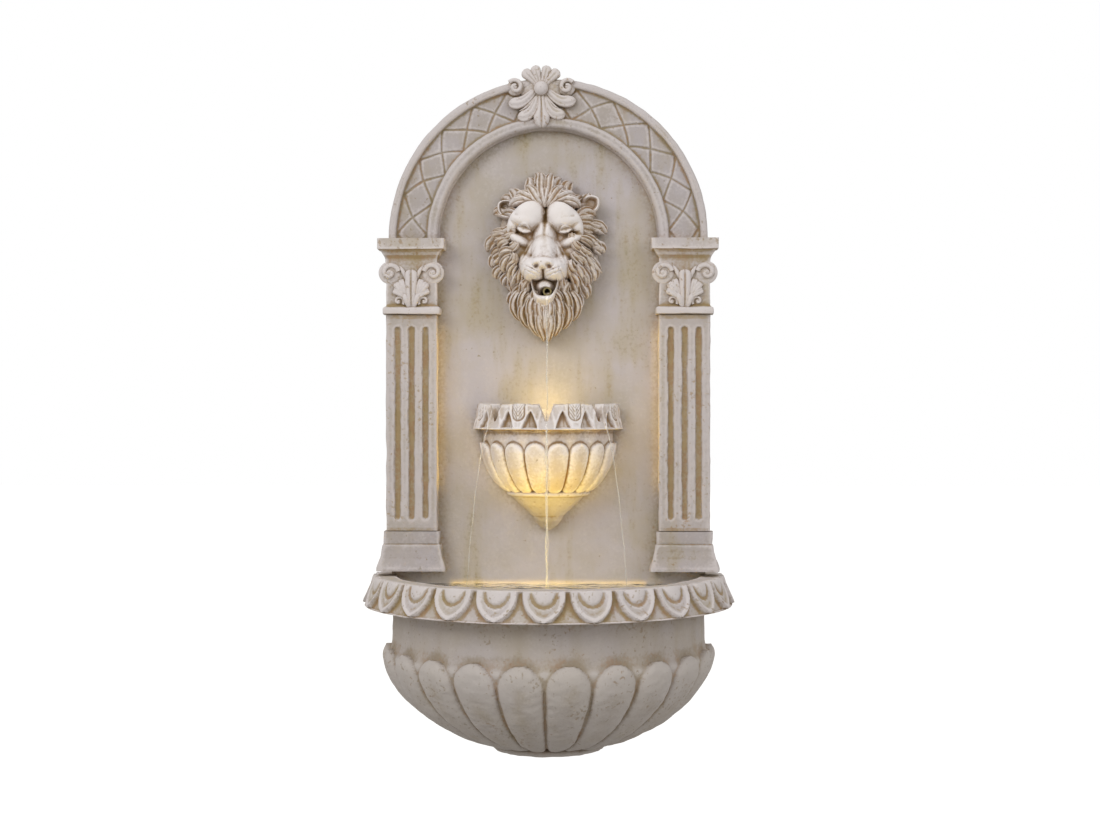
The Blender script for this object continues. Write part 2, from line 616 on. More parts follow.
def leaf_rim(angle, down):
    """Sunk triangles between notch and tongue, a veined leaf on each tongue, a ridge beside each notch."""
    off = off_notch(angle)
    half = TRIANGLE_HALF_WIDTH * np.clip((down - 9) / 17, 0, 1) ** 0.8
    sunk = -TRIANGLE_DEPTH * smooth_step(half - np.abs(off - TRIANGLE_PLACE), -0.5, 1.3) * (down > 8)
    off_tongue = NOTCH_PITCH * RIM_RADIUS / 2 - off
    swell = TONGUE_SWELL * round_over(off_tongue / TONGUE_HALF_WIDTH)
    around = np.hypot(off_tongue, np.maximum(down - LEAF_TOP, 0))
    border = -BORDER_DEPTH * bell((around - LEAF_RADIUS) / 0.9)
    slanting = np.sin((down + off_tongue * 1.5) * 1.35)
    veins = -VEIN_DEPTH * smooth_step(slanting, 0.45, 0.95) * (around < 6.8)
    midrib = MIDRIB_RISE * bell(off_tongue / MIDRIB_HALF_WIDTH) * (around < 7.2)
    ridge = RIDGE_RISE * bell((off - RIDGE_PLACE - down * RIDGE_SPREAD) / RIDGE_HALF_WIDTH)
    return sunk + swell + border + veins + midrib + ridge - RIM_SINK


def bowl_carving(angle, radius, height):
    """Gadroons below the neck, which are lower where the bowl is narrow, and leaves on the rim's outside."""
    share = (height - BOWL_BOTTOM) / (BOWL_BELLY_TOP - BOWL_BOTTOM)
    bulge = BOWL_BULGE * (0.35 + 0.65 * radius / BOWL_WIDEST)
    down = BOWL_TOP - height
    below = lobes(angle, share, BOWL_LOBES, bulge, head_start=0.8, head_reach=0.27) * (height < 366)
    on_rim = (height > 376.5) * (radius > 80) * smooth_step(down, 0.0, 2.0)
    return below + leaf_rim(angle, down) * on_rim


def notch_floor(angle):
    """Height of the V at every notch: 21 mm deep in its middle, rising 2.5 mm for each mm to either side."""
    return BOWL_TOP - np.clip(NOTCH_DEPTH - np.maximum(off_notch(angle) - 1.5, 0) * 2.5, 0.0, NOTCH_DEPTH)


bowl_rim = [(76, 363), (75.5, 372), (78, 375.5), (88.5, 376.2), (84.5, 390), (83.5, 405.6)]
outside = profile([(0.5, BOWL_BOTTOM), (43, BOWL_BOTTOM)] + belly(43, 75, BOWL_BOTTOM, BOWL_BELLY_TOP)[1:]
                  + bowl_rim, 0.9)
inside = profile([(70.5, 405.8), (70, 363)] + belly(34, 70, 313.6, 363)[::-1][1:] + [(0.5, 313.6)], 2.0)
upper = bowl_skin(np.concatenate((outside, inside)), bowl_carving, BOWL_AXIS, NICHE_GAP, arc=380, backs=10,
                  ceiling=notch_floor, seed=11, uneven=0.25)
make_piece("bowl_casting", [upper], mask_stone, ["upper_bowl"])

# %% [markdown]
# ## The arch surround
# A half ring stands 20 mm proud of the panel: a round rim inside and outside, and between them a sunk band
# that is scored with crossing lines like a melon's net. Each line is drawn in the band's own flat map, where
# the angle runs along and the radius across, so it bends gently round the arch as the carved ones do.

# %% The arch surround
ARCH_IN, ARCH_OUT = 127.0, 186.3
BAND_IN, BAND_OUT, BAND_MIDDLE = 141.6, 176.6, 159.0
BAY = math.radians(15) * BAND_MIDDLE
NET_DEPTH, NET_HALF_WIDTH = 1.5, 1.2
# Degrees from upright at which a crossing lies, and its number
NET_STEPS = ((-96, -7), (-80.8, -6), (-65.1, -5), (-51.2, -4), (-36.7, -3), (-22.8, -2), (-9.5, -1), (4.5, 0),
             (18.0, 1), (33.5, 2), (48.9, 3), (64.3, 4), (78.6, 5), (94, 6))
NET_MIDDLE, NET_BOW = 0.56, 0.045


def lattice(angle, radius):
    """Depth of the scored net: 1.5 x exp(-(distance / 1.2)^2) to the nearer of two families of lines."""
    steps = np.array(NET_STEPS, float)
    along = np.interp(90 - np.degrees(angle), steps[:, 0], steps[:, 1])
    across = np.clip((radius - BAND_IN) / (BAND_OUT - BAND_IN), 0, 1)
    lean = np.interp(across, (0, NET_MIDDLE, 1), (-0.5, 0, 0.5)) + NET_BOW * np.sin(math.pi * across)
    slope = (BAND_OUT - BAND_IN) / BAY
    depth = np.zeros_like(along * across)
    for heading in (1, -1):
        off = along - heading * lean + 0.03 * np.sin(along * 5.1 + heading)
        nearest = (off - np.round(off)) * BAY * slope / math.hypot(1, slope)
        depth = np.maximum(depth, bell(nearest / NET_HALF_WIDTH))
    past_out = smooth_step(radius, BAND_OUT - 0.6, BAND_OUT + 1)
    return NET_DEPTH * depth * smooth_step(radius, BAND_IN - 1, BAND_IN + 0.6) * (1 - past_out)


arch_section = profile([(ARCH_IN, 34.2), (ARCH_IN + 0.2, 45), (129.4, 51.4), (131.2, 53.4), (133, 54),
                        (138.6, 53.8), (140.4, 52.9), (141.6, 49.4), (142.6, 48.6), (175.8, 48.6),
                        (176.8, 49.4), (177.8, 52.9), (179.4, 54), (183.2, 53.9), (185.2, 52.6),
                        (ARCH_OUT, 50.0), (ARCH_OUT, 34.2)], 0.9, soften=1, closed=True)
arch_angle = np.linspace(0, math.pi, 430)[:, None]
arch_radius, arch_depth = arch_section[None, :, 0], arch_section[None, :, 1].repeat(430, 0)
scored = arch_depth - lattice(arch_angle, arch_radius) * (arch_depth > 44)
arch_points = np.stack((arch_radius * np.cos(arch_angle), -scored,
                        SPRING_HEIGHT + arch_radius * np.sin(arch_angle)), -1)
arch = Skin(arch_points, seed=21, uneven=0.3, back=PANEL_FRONT + WALL_GAP)
make_piece("arch_casting", [arch], arch_stone, ["arch_surround"])

# %% [markdown]
# ## Petals
# The crest, the capitals' leaves and the lion's mane are all made of one form: a petal. It is a closed
# section carried along a curved path, wide in the middle and narrow at its ends, crowned in front and flat
# behind, with a slit or a few ridges cut along it. The path is a smooth curve through a few points, which a
# Bezier formula gives: (1-t)^3 A + 3 (1-t)^2 t B + 3 (1-t) t^2 C + t^3 D.

# %% Petals
BACKS = 3
LEAF = ((0, 0.45), (0.3, 0.85), (0.6, 1.0), (0.85, 0.6), (1, 0.25))
CLUB = ((0, 0.45), (0.35, 0.62), (0.7, 0.92), (0.88, 1.0), (1, 0.85))
STUB = ((0, 0.5), (0.3, 0.72), (0.6, 0.92), (0.8, 1.0), (1, 0.95))
SPOON = ((0, 0.42), (0.3, 0.45), (0.5, 0.62), (0.68, 1.0), (1, 1.0))
LOCK = ((0, 0.6), (0.25, 0.9), (0.5, 1.0), (0.75, 0.72), (0.92, 0.3), (1, 0.12))
ROOT_REACH, SLIT_HALF_WIDTH, BACK_RISE = 0.085, 0.2, 0.4
FORWARDS = np.array((0.0, -1.0, 0.0))


def bezier(points, count):
    """The cubic through A and D that leaves towards B and arrives from C, at even shares t."""
    a, b, c, d = (np.asarray(p, float)[None, :] for p in points)
    t = np.linspace(0, 1, count)[:, None]
    return (1 - t) ** 3 * a + 3 * (1 - t) ** 2 * t * b + 3 * (1 - t) * t ** 2 * c + t ** 3 * d


def sweep(line, across, out, sideways, forwards):
    """Rings round a line: at every point of it, so far along the across vector and so far along out."""
    return line[:, None, :] + across[:, None, :] * sideways[..., None] + out[:, None, :] * forwards[..., None]


def petal(path, width, height, facing=FORWARDS, shape=LEAF, count=26, columns=22, slit=0.0, ridges=0,
          ridge_depth=0.3, blunt=0.86, sway=0.0, seed=1, uneven=0.15, soak=0.0):
    """Rows along the path: s x width share across, and height x (sqrt(1 - s^2) - slit - ridges) in front."""
    line = bezier(path, count)
    t = np.linspace(0, 1, count)[:, None]
    along = unit(np.gradient(line, axis=0))
    across = unit(np.cross(along, np.asarray(facing, float)[None, :]))
    out = np.cross(across, along)
    marks = np.array(shape, float)
    share = np.interp(t, marks[:, 0], marks[:, 1])
    share = share * round_over(np.clip((t - blunt) / (1.005 - blunt), 0, 1), least=0.002)
    share = share * round_over(np.clip((0.08 - t) / ROOT_REACH, 0, 1), least=0.01)
    behind = np.linspace(math.pi, FULL_TURN, BACKS + 2)[1:-1]
    turn = np.concatenate((np.linspace(0, math.pi, columns), behind))[None, :]
    s, lift = np.cos(turn), np.sin(turn)
    cut = slit * bell(s / SLIT_HALF_WIDTH)
    if ridges:
        lean = s + sway * np.sin(t * 5.0) * (1 - s * s)
        cut = cut + ridge_depth * 0.5 * (1 - np.cos(lean * math.pi * ridges))
    lift = np.where(lift > 0, np.sqrt(np.clip(lift, 0, 1)) - cut * lift, BACK_RISE * lift)
    points = sweep(line, across, out, s * share * width / 2, lift * height * np.sqrt(share))
    return Skin(points, uneven=uneven, seed=seed, soak=soak)


def radial_petal(lean, far, bend, **kwargs):
    """A crest petal on the ray at lean degrees from upright, 4 to far mm out, bent sideways by bend mm."""
    angle = math.radians(lean)
    ray = np.array((math.sin(angle), 0, math.cos(angle)))
    side = np.array((math.cos(angle), 0, -math.sin(angle)))
    rise = np.array((0, -2.0, 0))
    centre = np.array((CREST[0], -PETAL_DEPTH, CREST[1]))
    stem, near = far - PETAL_ROOT, centre + ray * PETAL_ROOT
    path = (near, near + ray * stem * 0.35 + side * bend * 0.6 + rise,
            near + ray * stem * 0.75 + side * bend + rise, near + ray * stem + side * bend)
    return petal(path, **kwargs)


def leaf_in_plane(places, width, height, depth, **kwargs):
    """A petal on a path in the wall's plane, in mm from the crest's button, swelling 2 mm forwards."""
    path = [(CREST[0] + x, -depth - 2.0 * (0 < k < 3), CREST[1] + z) for k, (x, z) in enumerate(places)]
    return petal(path, width, height, **kwargs)


def scroll(centre, radius, height, turns, hand, depth, start, width, seed):
    """A rope of stone wound inwards: its radius falls evenly from the given one while its angle turns."""
    t = np.linspace(0, 1, 64)[:, None]
    angle = start + hand * t * turns * 2 * math.pi
    reach = (radius - width / 2) * (1 - 0.86 * t)
    line = np.concatenate((centre[0] + reach * np.sin(angle), -depth - height * 0.3 * t,
                           centre[1] + reach * np.cos(angle)), 1)
    across = unit(np.cross(unit(np.gradient(line, axis=0)), FORWARDS))
    turn = ring_angles(12)
    sideways = np.cos(turn) * (width / 2 * (1 - 0.25 * t))
    points = sweep(line, across, FORWARDS[None, :], sideways, np.sin(turn) * height / 2 * (1 - 0.2 * t))
    return Skin(points, uneven=0.1, seed=seed)


def dome(centre, half_width, half_height, rise, depth, rows=14, columns=36, seed=1, soak=0.0):
    """A button: radius share cos(v), height share sin(v), from its rim below the ground to its top."""
    v = np.linspace(-0.5, math.pi / 2 - 0.02, rows)[:, None]
    turn = ring_angles(columns)
    x = centre[0] + half_width * np.cos(v) * np.sin(turn)
    z = centre[1] + half_height * np.cos(v) * np.cos(turn)
    return Skin(np.stack((x, -depth - rise * np.sin(v) + 0 * turn, z), -1), uneven=0.15, seed=seed, soak=soak)


# %% [markdown]
# ## The crest
# A palmette sits where a keystone would: four short petals stand above a round button, two pairs of longer
# leaves, thin strands and a tail with a slit hang below it, and the outer rim of the arch rolls up into a
# scroll on each side. Each petal is its own skin, laid over its neighbours as the carver laid them.

# %% The crest
CREST = (-8.0, 772.0)
PETAL_ROOT, PETAL_DEPTH = 4, 51.0
crest_skins = [dome(CREST, 8.0, 8.0, 8.5, 58.0, seed=30),
               dome((CREST[0], 766), 22, 27, 8.0, 45.0, seed=31, soak=0.5),
               dome((CREST[0], 771), 25, 17, 5.5, 49.6, seed=29, soak=0.6)]
# lean in degrees, length, width and sideways bend of the petals above the button
UPPER_PETALS = ((-47, 29, 13.0, 1.5), (-15.5, 26.8, 12.2, -0.3), (15.5, 26.8, 12.2, 0.3),
                (47, 29, 13.0, -1.5))
for index, (lean, far, width, bend) in enumerate(UPPER_PETALS):
    crest_skins.append(radial_petal(lean, far, bend, width=width, height=7.0, seed=32 + index, shape=CLUB,
                                    blunt=0.75, slit=0.1))
# Paths are four places each, in mm from the button
LOWER_LEAVES = (((-7, -2), (-15, -9), (-22, -21), (-37.5, -15.5)),
                ((-4, -8), (-8, -22), (-12, -34), (-27, -32)),
                ((7, -2), (15, -9), (22, -20), (40, -12.5)),
                ((4, -8), (8, -22), (12, -33), (28, -29)))
for index, places in enumerate(LOWER_LEAVES):
    crest_skins.append(leaf_in_plane(places, 14.0, 7.5, 50.8, seed=38 + index, shape=STUB, blunt=0.8,
                                     ridges=2, ridge_depth=0.16))
STRANDS = (((4, -9), (5.5, -18), (6, -26), (10, -32)), ((6, -7), (12, -17), (18, -24), (26, -25.5)))
for hand, side_name in HANDS:
    for places in STRANDS:
        strand = [(hand * x, z) for x, z in places]
        crest_skins.append(leaf_in_plane(strand, 3.2, 4.0, 51.2, seed=43 + hand, count=16, columns=12))
    volute = (CREST[0] + hand * 30.0, CREST[1] + 2.0)
    eye = (volute[0] + hand * 0.8, volute[1] - 0.4)
    crest_skins.append(dome(volute, 9.8, 9.8, 4.0, 50.5, seed=47 + hand, soak=0.5))
    crest_skins.append(dome(eye, 3.3, 3.3, 4.4, 54.8, seed=49 + hand))
    crest_skins.append(scroll(volute, 11.4, 8.6, 1.2, -hand, 54.5, hand * 0.9, 5.8, 51 + hand))
crest_skins.append(leaf_in_plane(((0, -7), (0.5, -20), (0.8, -30), (0.8, -45)), 19.0, 8.5, 51.5, seed=53,
                                 shape=SPOON, blunt=0.72, slit=0.32))
make_piece("crest_casting", crest_skins, stone, ["crest"])

# %% [markdown]
# ## Pilasters: a block with a changing plan
# Shaft, capital and plinth are blocks against the panel. Each height has its own width and depth, and each
# ring is the plan at that height: a rounded rectangle that is flat behind. Its corner is rounded by sliding
# the points of the ring, and flutes are taken off the front afterwards.

# %% Blocks with a changing plan
def plan_ring(width, depth, step):
    """Unit plan cut into even steps: left back corner, left front, right front, right back, and home."""
    corners = np.array(((-width / 2, 0), (-width / 2, depth), (width / 2, depth), (width / 2, 0)))
    ring = profile(corners, step, soften=3, closed=True)
    return np.stack((ring[:, 0] / (width / 2), ring[:, 1] / depth), 1)


def block_skin(levels, x, step, carve=None, bands=(), **kwargs):
    """Rows at even steps of height, sized by (height, width, depth) levels; bands are (low, high, dirt)."""
    levels = np.asarray(levels, float)
    line = profile(levels[:, [1, 0]], step, soften=1)
    heights = line[:, 1]
    marks = np.concatenate(([0], np.cumsum(np.linalg.norm(np.diff(levels[:, [1, 0]], axis=0), axis=1))))
    depths = np.interp(np.linspace(0, marks[-1], len(line)), marks, levels[:, 2])
    plan = plan_ring(levels[:, 1].max(), levels[:, 2].max(), step)
    px = plan[None, :, 0] * line[:, 0][:, None] / 2
    py = plan[None, :, 1] * depths[:, None]
    pz = np.broadcast_to(heights[:, None], px.shape).copy()
    if carve:
        py = py - carve(px, pz) * (plan[None, :, 1] > 0.9)
    dirt = np.zeros_like(pz)
    for low, high, amount in bands:
        dirt += amount * ((pz > low) & (pz < high))
    front = PANEL_FRONT + 0.1
    points = np.stack((px + x, -front - np.maximum(py, 0), pz), -1)
    return Skin(points, back=front, soak=dirt, **kwargs)


# %% [markdown]
# ## The fluted shafts
# Three flutes with round ends run down each shaft. A flute is a half round about 7.6 mm wide with worn edges,
# filled with the brown glaze that the wiping cloth never reached.

# %% The fluted shafts
SHAFT_LOW, SHAFT_HIGH, SHAFT_WIDTH, SHAFT_DEPTH = 257.0, 509.0, 60, 22
FLUTE_PITCH, FLUTE_DEPTH, FLUTE_HALF_WIDTH = 16.2, 3.8, 3.8
FLUTE_LOW, FLUTE_HIGH = 274.0, 491.5


def flutes(px, pz):
    """Depth 3.8 sqrt(1 - (off / half)^2); off is the distance to the flute's line, half is about 3.8 mm."""
    depth = np.zeros_like(px)
    for middle in (-FLUTE_PITCH, 0.0, FLUTE_PITCH):
        beyond = np.maximum(np.maximum(FLUTE_LOW - pz, pz - FLUTE_HIGH), 0)
        off = np.hypot(px - middle, beyond)
        chips = 0.3 * np.sin(pz / 3.1 + middle) * np.sin(pz / 7.7 + 2 * middle)
        half = FLUTE_HALF_WIDTH + chips + 0.25 * np.sin(pz / 19 + middle)
        depth = np.maximum(depth, FLUTE_DEPTH * round_over(off / half))
    return depth


shaft_levels = ((SHAFT_LOW, SHAFT_WIDTH, SHAFT_DEPTH), (SHAFT_HIGH, SHAFT_WIDTH, SHAFT_DEPTH))
shaft_bands = ((SHAFT_HIGH - 5, SHAFT_HIGH, 0.5), (SHAFT_LOW, SHAFT_LOW + 4, 0.5))
for hand, side_name in HANDS:
    shaft = block_skin(shaft_levels, hand * PILASTER_OFFSET, 1.15, flutes, shaft_bands, seed=60 + hand,
                       uneven=0.4)
    make_piece(f"{side_name}_shaft_casting", [shaft], shaft_stone, [f"{side_name}_shaft"])

# %% [markdown]
# ## The plinths
# Under each shaft a small block sits on a foot that flares out in a hollow curve to the basin's rim.

# %% The plinths
plinth_levels = ((210.2, 81, 32), (214, 80.5, 31.6), (219, 77.5, 29.8), (226, 73, 27.2), (234, 69.6, 25.4),
                 (240.5, 68, 24.6), (241.6, 65, 23.4), (243, 65.4, 24), (256.8, 65.4, 24))
for hand, side_name in HANDS:
    plinth = block_skin(plinth_levels, hand * PILASTER_OFFSET, 1.4, seed=64 + hand, uneven=0.5)
    make_piece(f"{side_name}_plinth_casting", [plinth], arch_stone, [f"{side_name}_plinth"])

# %% [markdown]
# ## The capitals
# From below: a rounded necking, a drum with carving on its face, a dirty hollow and a heavy slab. The
# carving is one leaf with a slit in the middle, a leaf of three lobes and a small curl on each side of it,
# and two scrolls at the corners, each a thick band wound once round its eye. All of it is petals, scrolls
# and domes laid on the drum.

# %% The capitals
DRUM_FACE = PANEL_FRONT + 21.5
capital_levels = ((509.2, 66, 27), (510, 67, 28.4), (513.5, 67.6, 28.8), (517.2, 67, 28.4), (518.6, 62, 25),
                  (519.4, 60, 23.2), (560, 59, 23), (574, 60, 23), (577, 62, 24), (581, 67, 26.5),
                  (584.6, 73, 29.4), (585, 78.4, 32), (597.8, 78.4, 32))
capital_bands = ((519, 573, 0.2), (574, 578, 0.55), (581.5, 584.9, 0.5))
# Each path is four places as (across from the capital's middle, up, rise over the drum)
MIDDLE_LEAF = ((0, 517, 0), (0, 530, 5), (0, 546, 6), (0, 561, 3))
SIDE_LOBES = (((5, 529, 1), (8, 537, 5), (10, 543, 5), (11.5, 549, 1)),
              ((6, 529, 1), (11, 536, 5), (14, 540, 5), (18, 545, 1)),
              ((6, 528, 1), (11, 532, 5), (15, 535, 5), (19.5, 537, 1)))
STEM = ((3, 517, 1), (5, 524, 4), (7, 530, 4.5), (9, 535, 2))
SHOOT = ((4, 545, 0), (7, 554, 3), (9, 560, 3), (14, 566, 2))


def on_drum(middle, hand, places):
    """Places on a capital's drum, mirrored by the hand, as millimetres in the drawing."""
    return [(middle + hand * across, -DRUM_FACE - rise, up) for across, up, rise in places]


for side, side_name in HANDS:
    x = side * PILASTER_OFFSET
    skins = [block_skin(capital_levels, x, 1.3, bands=capital_bands, seed=70 + side, uneven=0.35),
             petal(on_drum(x, 1, MIDDLE_LEAF), 14.5, 5.5, slit=0.4, shape=STUB, blunt=0.9, seed=72 + side)]
    for hand in (-1, 1):
        for place, lobe in enumerate(SIDE_LOBES):
            skins.append(petal(on_drum(x, hand, lobe), 8.4, 4.6, slit=0.2, shape=STUB, blunt=0.9, count=18,
                               columns=14, seed=74 + 3 * side + place))
        skins.append(petal(on_drum(x, hand, STEM), 7.5, 4.8, seed=78 + side, count=16, columns=12))
        skins.append(petal(on_drum(x, hand, SHOOT), 5, 3.5, seed=80 + side + hand, count=16, columns=12))
        curl, volute = (x + hand * 14.6, 524.6), (x + hand * 25.0, 557.8)
        eye = (volute[0] + hand * 0.4, volute[1] - 0.2)
        skins.append(scroll(curl, 8.4, 5.8, 0.95, hand, DRUM_FACE + 2.0, -hand * 2.2, 3.9, 81 + hand))
        skins.append(dome(curl, 2.2, 2.2, 4.0, DRUM_FACE + 1.8, rows=8, columns=20, seed=81 + hand))
        skins.append(dome(volute, 13.2, 13.2, 3.0, DRUM_FACE + 0.5, seed=82 + hand, soak=0.35))
        skins.append(scroll(volute, 13.5, 6.6, 1.05, hand, DRUM_FACE + 2.6, -hand * 1.4, 6.4, 84 + hand))
        skins.append(dome(eye, 3.6, 3.6, 3.8, DRUM_FACE + 4.0, seed=86 + hand))
    make_piece(f"{side_name}_capital_casting", skins, stone, [f"{side_name}_capital"])

# %% [markdown]
# ## The lion mask: the face
# The face is a height over the niche, h(x, z), on rings that are finest at the nose. Each form is a cap,
# top - drop x distance^power, and the face is the soft maximum of all caps: where two caps meet, a crease
# stays, as a carver leaves it. Grooves, eyes and the open mouth are taken out afterwards. One could sculpt
# this by hand, but a list of named caps can be read, measured and changed one line at a time.

# %% Caps of the lion's face
FACE_X, FACE_Z = -1.5, 586.0
FACE_TILT = math.radians(1.5)
FACE_TURN = 0.04
FORM_BLEND = 1.3
MIRROR_FROM = 2.0

# top, drop, across, up, half width, half height, turn in degrees, power; mirrored where across is over 2
FACE_CAPS = (
    (43.0, 11.0, 0.0, 5.0, 41.0, 50.0, 0, 1.6),  # the whole head
    (60.0, 9.0, 18.5, 37.5, 17.0, 18.0, -12, 1.5),  # forehead
    (54.0, 8.0, 31.0, 34.0, 12.0, 15.0, -24, 1.4),  # temple
    (59.0, 7.0, 22.0, 29.0, 16.0, 6.6, 10, 1.5),  # brow
    (52.0, 6.0, 37.0, 25.0, 6.5, 9.5, 24, 1.2),  # outer end of the brow
    (52.5, 6.0, 30.0, 7.5, 12.5, 5.6, 28, 1.4),  # cheekbone
    (46.0, 7.0, 31.0, -5.0, 10.0, 12.0, 22, 1.2),  # cheek
    (58.0, 6.0, 0.0, 12.0, 10.5, 15.0, 0, 1.5),  # root of the nose
    (67.5, 7.0, 0.0, -7.0, 12.6, 17.5, 0, 2.2),  # back of the nose
    (55.0, 7.0, 13.5, -4.0, 6.5, 12.0, 22, 1.1),  # side of the nose
    (75.0, 6.0, 0.0, -20.0, 13.4, 6.4, 0, 2.2),  # tip of the nose
    (71.0, 8.5, 11.8, -26.0, 11.6, 11.6, -14, 1.5),  # muzzle
    (62.0, 8.0, 18.2, -23.0, 8.6, 12.5, -20, 1.4),  # outer muzzle
    (47.0, 9.0, 26.0, -16.0, 8.5, 17.0, 20, 1.3),  # fold beside the muzzle
    (46.0, 9.0, 20.0, -45.0, 7.5, 15.0, 20, 1.3),  # jaw
    (50.0, 8.0, 0.0, -65.0, 13.0, 7.0, 0, 1.4),  # chin
)
# depth, across, up, half width, half height, turn in degrees, power
FACE_CUTS = (
    (4.6, 0.0, 37.0, 2.8, 22.0, 0, 1.4),  # furrow down the forehead
    (3.0, 11.0, 19.0, 3.2, 8.5, 26, 1.2),  # inner corner of the eye
    (7.0, 6.8, -23.6, 3.2, 2.4, -25, 1.3),  # nostril
    (4.5, 0.0, -31.5, 1.3, 6.5, 0, 1.2),  # line from nose to lip
    (2.4, 13.2, -10.0, 1.4, 8.0, 26, 1.1),  # inner crease beside the nose
    (3.0, 19.0, -4.0, 1.4, 12.0, 26, 1.1),  # outer crease beside the nose
    (2.6, 32.0, 15.0, 10.0, 1.5, 27, 1.1),  # crease under the eye
    (3.0, 23.0, -35.0, 1.5, 10.0, 22, 1.2),  # crease beside the mouth
    (2.2, 33.0, 44.0, 1.3, 8.0, 34, 1.1),  # crease at the temple
    (1.5, 11.0, -27.5, 12.0, 0.8, 24, 1.2),  # upper line of whiskers
    (1.5, 13.0, -31.5, 11.0, 0.8, 24, 1.2),  # lower line of whiskers
)
EYE_ACROSS, EYE_UP, EYE_TURN = 24.0, 18.5, 14
EYE_HALF_LENGTH, EYE_HALF_HEIGHT = 8.6, 4.4
EYE_OPEN = {-1: 0.9, 1: 0.7}
BALL_BED, BALL_RISE, BALL_HALF_LENGTH, BALL_HALF_HEIGHT = 47.5, 4.5, 9.5, 7.0
PUPIL_DEPTH, LID_RISE, LID_PLACE, LID_WIDTH = 0.8, 2.6, 1.42, 0.36
JAW_SHIFT, LIP_RISE, GAPE_BED, TONGUE_RISE = 1.6, 60.0, 44.0, 11.0
HOLE_ACROSS, HOLE_UP, HOLE_DEPTH = 1.2, -52.5, 20.0
WHISKER_DEPTH = 0.7


def sides(across):
    """The hands a form is made for: both when it lies well off the middle line."""
    return (1, -1) if across > MIRROR_FROM else (1,)


def turned(x, z, hand, across, up, turn):
    """x and z measured from a form's middle, along and across the form's own lean."""
    c, s = math.cos(math.radians(turn * hand)), math.sin(math.radians(turn * hand))
    u, v = x - across * hand, z - up
    return u * c + v * s, v * c - u * s


def distance(x, z, hand, across, up, half_width, half_height, turn):
    """(u / half width)^2 + (v / half height)^2, with u and v turned about the form's middle."""
    u, v = turned(x, z, hand, across, up, turn)
    return (u / half_width) ** 2 + (v / half_height) ** 2


def eyes(x, z, height):
    """Almond d = |v| / (half height (1 - (u / half length)^2)): a ball inside d < 1, a lid round it."""
    for hand in (1, -1):
        u, v = turned(x, z, hand, EYE_ACROSS, EYE_UP, EYE_TURN)
        bow = np.clip(1 - (u / EYE_HALF_LENGTH) ** 2, 0.05, 1)
        d = np.abs(v) / (EYE_HALF_HEIGHT * EYE_OPEN[hand] * bow)
        inside = (1 - smooth_step(d, 0.9, 1.1)) * (np.abs(u) < EYE_HALF_LENGTH)
        ball = BALL_BED + BALL_RISE * round_over(np.hypot(u / BALL_HALF_LENGTH, v / BALL_HALF_HEIGHT))
        ball = ball - PUPIL_DEPTH * np.exp(-((u - 0.6 * hand) ** 2 + (v - 0.3) ** 2) / 2.6)
        lid = LID_RISE * bell((d - LID_PLACE) / LID_WIDTH) * bell(u / (EYE_HALF_LENGTH + 1.5), 6)
        height = (height + lid) * (1 - inside) + ball * inside
    return height


def open_mouth(x, z, height):
    """A U-shaped lip, and between it and the muzzle's line a gape with the tongue and the spout's hole."""
    upper = -37.6 - 1.6 * bell((np.abs(x) - 10) / 5.0)
    lower = -56.6 + 14.0 * np.clip(np.abs(x) / 14.0, 0, 1.15) ** 4.0
    lip = LIP_RISE - 2.4 * ((z - lower + 3.6) / 2.8) ** 2 - 2.5 * (np.abs(x) / 16) ** 2
    height = FORM_BLEND * np.logaddexp(height / FORM_BLEND, np.where(np.abs(x) < 18, lip, 0) / FORM_BLEND)
    gape = smooth_step(upper - z, -0.6, 1.0) * smooth_step(z - lower, -0.6, 1.0) * (np.abs(x) < 14.2)
    tongue = TONGUE_RISE * bell((x / 9.5) ** 2 + ((z + 45.5) / 7.5) ** 2, 3)
    hole = HOLE_DEPTH * bell(((x - HOLE_ACROSS) / 5.4) ** 2 + ((z - HOLE_UP) / 4.6) ** 2)
    return height * (1 - gape) + gape * (GAPE_BED + tongue - hole)


def face_height(x, z):
    """Soft maximum of the caps, less the cuts; then eyes, mouth and the dots the whiskers grow from."""
    total = np.full_like(x, 0.0)
    for top, drop, across, up, half_width, half_height, turn, power in FACE_CAPS:
        for hand in sides(across):
            far = distance(x, z, hand, across, up, half_width, half_height, turn)
            total = np.logaddexp(total, (top - drop * far ** power) / FORM_BLEND)
    height = total * FORM_BLEND
    for depth, across, up, half_width, half_height, turn, power in FACE_CUTS:
        for hand in sides(across):
            far = distance(x, z, hand, across, up, half_width, half_height, turn)
            height = height - depth * bell(far, power)
    height = open_mouth(x - JAW_SHIFT, z, eyes(x, z, height))
    for row in range(3):
        for place in range(4):
            across, up = 8.5 + place * 3.4, -22.5 - row * 3.6 - place * 0.8
            height = height - WHISKER_DEPTH * np.exp(-((np.abs(x) - across) ** 2 + (z - up) ** 2) / 0.8)
    return height


# %% [markdown]
# The face's rings follow its own outline, wide at the cheekbones and narrow at the chin. The outline is read
# at marks and turned into a reach for every angle about the middle of the nose.

# %% The face's skin
FACE_ROWS, FACE_COLUMNS = 130, 250
FACE_OUTLINE = ((0, 53), (22, 52), (36, 43), (44, 30), (45, 14), (40, 0), (33, -14), (30, -30), (27, -46),
                (21, -62), (12, -73), (0, -76))
FACE_MIDDLE = -8.0
CLEAN = -0.52
